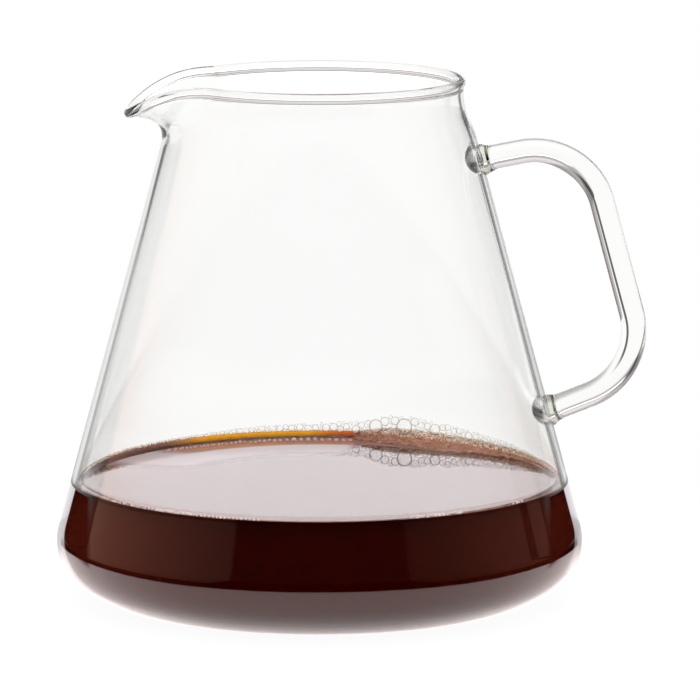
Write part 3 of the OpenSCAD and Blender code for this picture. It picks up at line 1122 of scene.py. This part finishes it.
def grown(name, tree, base, values):
    """The plain mesh that a group makes on a base mesh, with its inputs set by their identifiers."""
    maker = add_object(name, base)
    modifier = maker.modifiers.new(name, "NODES")
    modifier.node_group = tree
    for socket in tree.interface.items_tree:
        if socket.in_out == "INPUT" and socket.name in values:
            modifier[socket.identifier] = values[socket.name]
    shown = maker.evaluated_get(bpy.context.evaluated_depsgraph_get())
    mesh = bpy.data.meshes.new_from_object(shown)
    mesh.name = name
    bpy.data.objects.remove(maker)
    return mesh


def foam_piece(mesh):
    """Shows a mesh of bubbles as a piece of the foam."""
    piece = add_object(mesh.name, mesh)
    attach(piece, "root")
    print(mesh.name, "faces:", len(mesh.polygons))


# %% Cells on the raft
CELL_GAP = 0.6
CELL_R = 0.26
CELL_GROWTH = 0.06
CELL_START = 0.3
CELL_DENSITY = 6e6
CELL_SIZES = (0.55, 1.25)


def cell_group():
    tree, net, given = bubble_group("foam_cells", ("Cell Gap", "Cell Radius", "Growth", "Start Lift"))
    lift = net.node("GeometryNodeInputPosition").part("Z") - FLAT_LEVEL * MM
    wanted = lift.math("GREATER_THAN", given["Start Lift"])
    points = net.node("GeometryNodeDistributePointsOnFaces", {
        "Mesh": given["Geometry"], "Selection": wanted, "Distance Min": given["Cell Gap"],
        "Density Max": CELL_DENSITY, "Seed": given["Seed"]}, distribute_method="POISSON")
    radius = given["Cell Radius"] + lift * given["Growth"]
    radius = radius * chance(net, *CELL_SIZES, given["Seed"])
    finish_bubbles(net, points, radius, given)
    return tree


foam_piece(grown("foam_cells", cell_group(), raft.data, {
    "Cell Gap": CELL_GAP * MM, "Cell Radius": CELL_R * MM, "Growth": CELL_GROWTH,
    "Start Lift": CELL_START * MM, "Seed": 5, "Roundness": 1, "Material": foams["cell_foam"]}))

# %% [markdown]
# ## Bubbles along the wall
# Over the raft and along the film, bubbles of many sizes cling to the glass in one layer. They push each
# other aside and don't overlap. So the large ones are set first, and smaller ones are then thrown at the
# strip and stay wherever they fit, as sand fills the gaps between pebbles.

# %% Places of the wall bubbles
# Stops along the wall: direction in degrees from straight behind towards the handle, lowest and highest
# place of the bubbles, as heights in mm, and radius of the largest of them, in mm
WALL_STOPS = np.array([
    (-88, 34.5, 35.6, 0.36), (-60, 35.3, 36.6, 0.42), (-39.5, 35.5, 36.7, 0.45),
    (-33.5, 35.6, 36.9, 0.52), (-28, 35.7, 37.2, 0.62), (-22.5, 35.7, 37.6, 0.75),
    (-12.5, 35.7, 38.1, 1.0), (-4.5, 35.6, 38.3, 1.15),
    (5.5, 35.5, 39.1, 1.15), (11, 35.4, 39.6, 1.2), (14, 35.2, 40.5, 1.3), (19, 35.0, 41.9, 1.3),
    (23.5, 35.0, 41.8, 1.3), (29, 35.0, 40.8, 1.2), (35, 34.9, 40.3, 1.05), (41, 34.8, 39.3, 0.9),
    (47.5, 34.7, 38.7, 0.75), (55, 34.6, 38.0, 0.62), (64, 34.5, 36.9, 0.48), (72, 34.4, 36.0, 0.4),
    (80, 34.2, 35.5, 0.36), (93, 34.2, 35.1, 0.32),
])
# The largest bubbles: direction, height and radius
LARGE_BUBBLES = (
    (14.5, 38.1, 2.0), (22.5, 38.6, 2.35), (31.0, 38.4, 1.6), (41.2, 37.6, 1.15), (36.4, 38.3, 0.95),
    (26.8, 39.0, 1.0), (10.5, 38.0, 1.0), (6.6, 37.4, 1.0), (46.8, 36.9, 0.85), (18.2, 37.0, 0.9),
)
# Shares of the largest size, one a round, how far sizes vary in a round, and how close bubbles squeeze
SIZE_SHARES = (1.0, 0.76, 0.56, 0.42, 0.32)
SIZE_SPREAD = (0.85, 1.1)
PACK_SEED = 7
THROWS = 6000
LEAST_R = 0.2
SQUEEZE = 0.95


def packed_bubbles():
    """Direction, height and radius of bubbles that fill the strip along the wall in one layer."""
    rng = np.random.default_rng(PACK_SEED)
    along = math.radians(1) * wall_r(COFFEE_LEVEL, WALL_T)
    placed = np.array(LARGE_BUBBLES) * (along, 1, 1)
    for share in SIZE_SHARES:
        ways = rng.uniform(WALL_STOPS[0, 0], WALL_STOPS[-1, 0], THROWS)
        low, high, largest = (np.interp(ways, WALL_STOPS[:, 0], stop) for stop in WALL_STOPS.T[1:])
        radii = largest * share * rng.uniform(*SIZE_SPREAD, THROWS)
        heights = between(low + radii, high - radii, rng.uniform(0, 1, THROWS))
        fits = (radii > LEAST_R) & (high - low > 2 * radii)
        for spot in np.column_stack([ways * along, heights, radii])[fits]:
            apart = np.hypot(*(placed[:, :2] - spot[:2]).T)
            if (apart > SQUEEZE * (placed[:, 2] + spot[2])).all():
                placed = np.vstack([placed, spot])
    return placed / (along, 1, 1)


spots = packed_bubbles()
print("bubbles along the wall:", len(spots))

# %% Wall bubbles
BUBBLE_GAP = 0.05
ROUND_FROM = 0.75


def bubble_seat(turn, height, radius):
    """Place of a bubble's middle: against the wall, or on the raft where that is in the way."""
    out = wall_r(height + radius * LEAN_SIN, WALL_T) - radius / LEAN_COS - BUBBLE_GAP
    if turn > RAFT_STOPS[0, 0]:
        toe, crest = raft_at(turn)
        shares = np.linspace(0, 1, RAFT_STEPS)
        slope = [FLAT_LEVEL + raft_height(s, crest) for s in shares]
        out = min(out, between(toe, wall_r(height, WALL_T), np.interp(height, slope, shares)))
    return (*(aim(90 - turn) * out), height)


def packed_group():
    tree, net, given = bubble_group("packed_bubbles", ())
    radius = net.node("GeometryNodeInputNamedAttribute", {"Name": "radius"}, data_type="FLOAT")
    finish_bubbles(net, given["Geometry"], radius, given)
    return tree


def bubbles_at(name, chosen, roundness):
    base = bpy.data.meshes.new(name)
    base.from_pydata((np.array([bubble_seat(*spot) for spot in chosen]) * MM).tolist(), [], [])
    base.attributes.new("radius", "FLOAT", "POINT").data.foreach_set("value", chosen[:, 2] * MM)
    return grown(name, packed_group(), base, {"Roundness": roundness, "Material": foams["wall_bubble"]})


foam_piece(bubbles_at("large_bubbles", spots[spots[:, 2] > ROUND_FROM], 3))
foam_piece(bubbles_at("small_bubbles", spots[spots[:, 2] <= ROUND_FROM], 2))

# %% [markdown]
# ## Rows of froth
# In front, fine froth clings to the coffee's edge in single rows, and at the back a row floats just off
# the wall. Each row is an arc in Geometry Nodes, cut into points at an even spacing and shaken a little.

# %% Froth rows
# Each row: its first and last direction in degrees from straight behind towards the handle, its height
# over the coffee, the spacing and the radius of its bubbles, how far they stray inwards, and how far
# from the wall they start, in mm
FROTH_ROWS = {
    "front_left": (-166, -92, 0.5, 1.2, 0.37, 0.5, 0.0),
    "front_left_thick": (-149, -139, 0.5, 0.6, 0.55, 1.2, 0.0),
    "front_right": (144, 158, 0.5, 0.6, 0.52, 1.4, 0.0),
    "right_tail": (124, 128, 0.5, 0.5, 0.32, 0.7, 0.0),
}
SCUM_ROWS = {
    "floating_large": (-11, 8, -0.1, 2.0, 0.85, 1.4, 4.0),
    "floating_middle": (-26, -11, -0.1, 1.5, 0.62, 1.4, 3.8),
    "floating_small": (-46, -26, -0.1, 1.2, 0.45, 1.2, 3.6),
}
ROW_STEPS = 96
# How far bubbles of a row vary in height and in size, and how far they keep off the wall, in radii
ROW_LIFTS, ROW_SIZES, ROW_REACH = (-0.25, 0.25), (0.55, 1.1), 1.12


def row_group():
    tree, net, given = bubble_group(
        "froth_row", ("Ring Radius", "Height", "Start", "Sweep", "Spacing", "Bubble Radius", "Stray"))
    path = net.node("GeometryNodeCurveArc", {
        "Resolution": ROW_STEPS, "Radius": given["Ring Radius"],
        "Start Angle": given["Start"], "Sweep Angle": given["Sweep"]}, mode="RADIUS")
    points = net.node("GeometryNodeCurveToPoints", {
        "Curve": path, "Length": given["Spacing"]}, mode="LENGTH")
    inwards = chance(net, -1.0, 0.0, given["Seed"]) * given["Stray"] / given["Ring Radius"]
    shake = net.node("GeometryNodeInputPosition") * net.node("ShaderNodeCombineXYZ", {
        "X": inwards, "Y": inwards})
    lift = net.node("ShaderNodeCombineXYZ", {
        "Z": given["Height"] + chance(net, *ROW_LIFTS, given["Seed"] + 1) * given["Bubble Radius"]})
    moved = net.node("GeometryNodeSetPosition", {"Geometry": points, "Offset": shake + lift})
    radius = given["Bubble Radius"] * chance(net, *ROW_SIZES, given["Seed"] + 2)
    finish_bubbles(net, moved, radius, given)
    return tree


def bubble_rows(name, rows, material):
    tree = row_group()
    joined = bmesh.new()
    for number, (row_name, row) in enumerate(rows.items()):
        first, last, lift, spacing, radius, stray, inset = row
        height = COFFEE_LEVEL + lift
        reach = wall_r(height + radius, WALL_T) - ROW_REACH * radius - BUBBLE_GAP - inset
        joined.from_mesh(grown(row_name, tree, bpy.data.meshes.new(row_name), {
            "Ring Radius": reach * MM,
            "Height": height * MM,
            "Start": math.radians(90 - last),
            "Sweep": math.radians(last - first),
            "Spacing": spacing * MM,
            "Bubble Radius": radius * MM,
            "Stray": stray * MM,
            "Seed": 3 * number,
            "Roundness": 2,
            "Material": material,
        }))
    mesh = bpy.data.meshes.new(name)
    joined.to_mesh(mesh)
    joined.free()
    mesh.materials.append(material)
    return mesh


foam_piece(bubble_rows("front_froth", FROTH_ROWS, foams["froth"]))
foam_piece(bubble_rows("floating_bubbles", SCUM_ROWS, foams["scum_bubble"]))
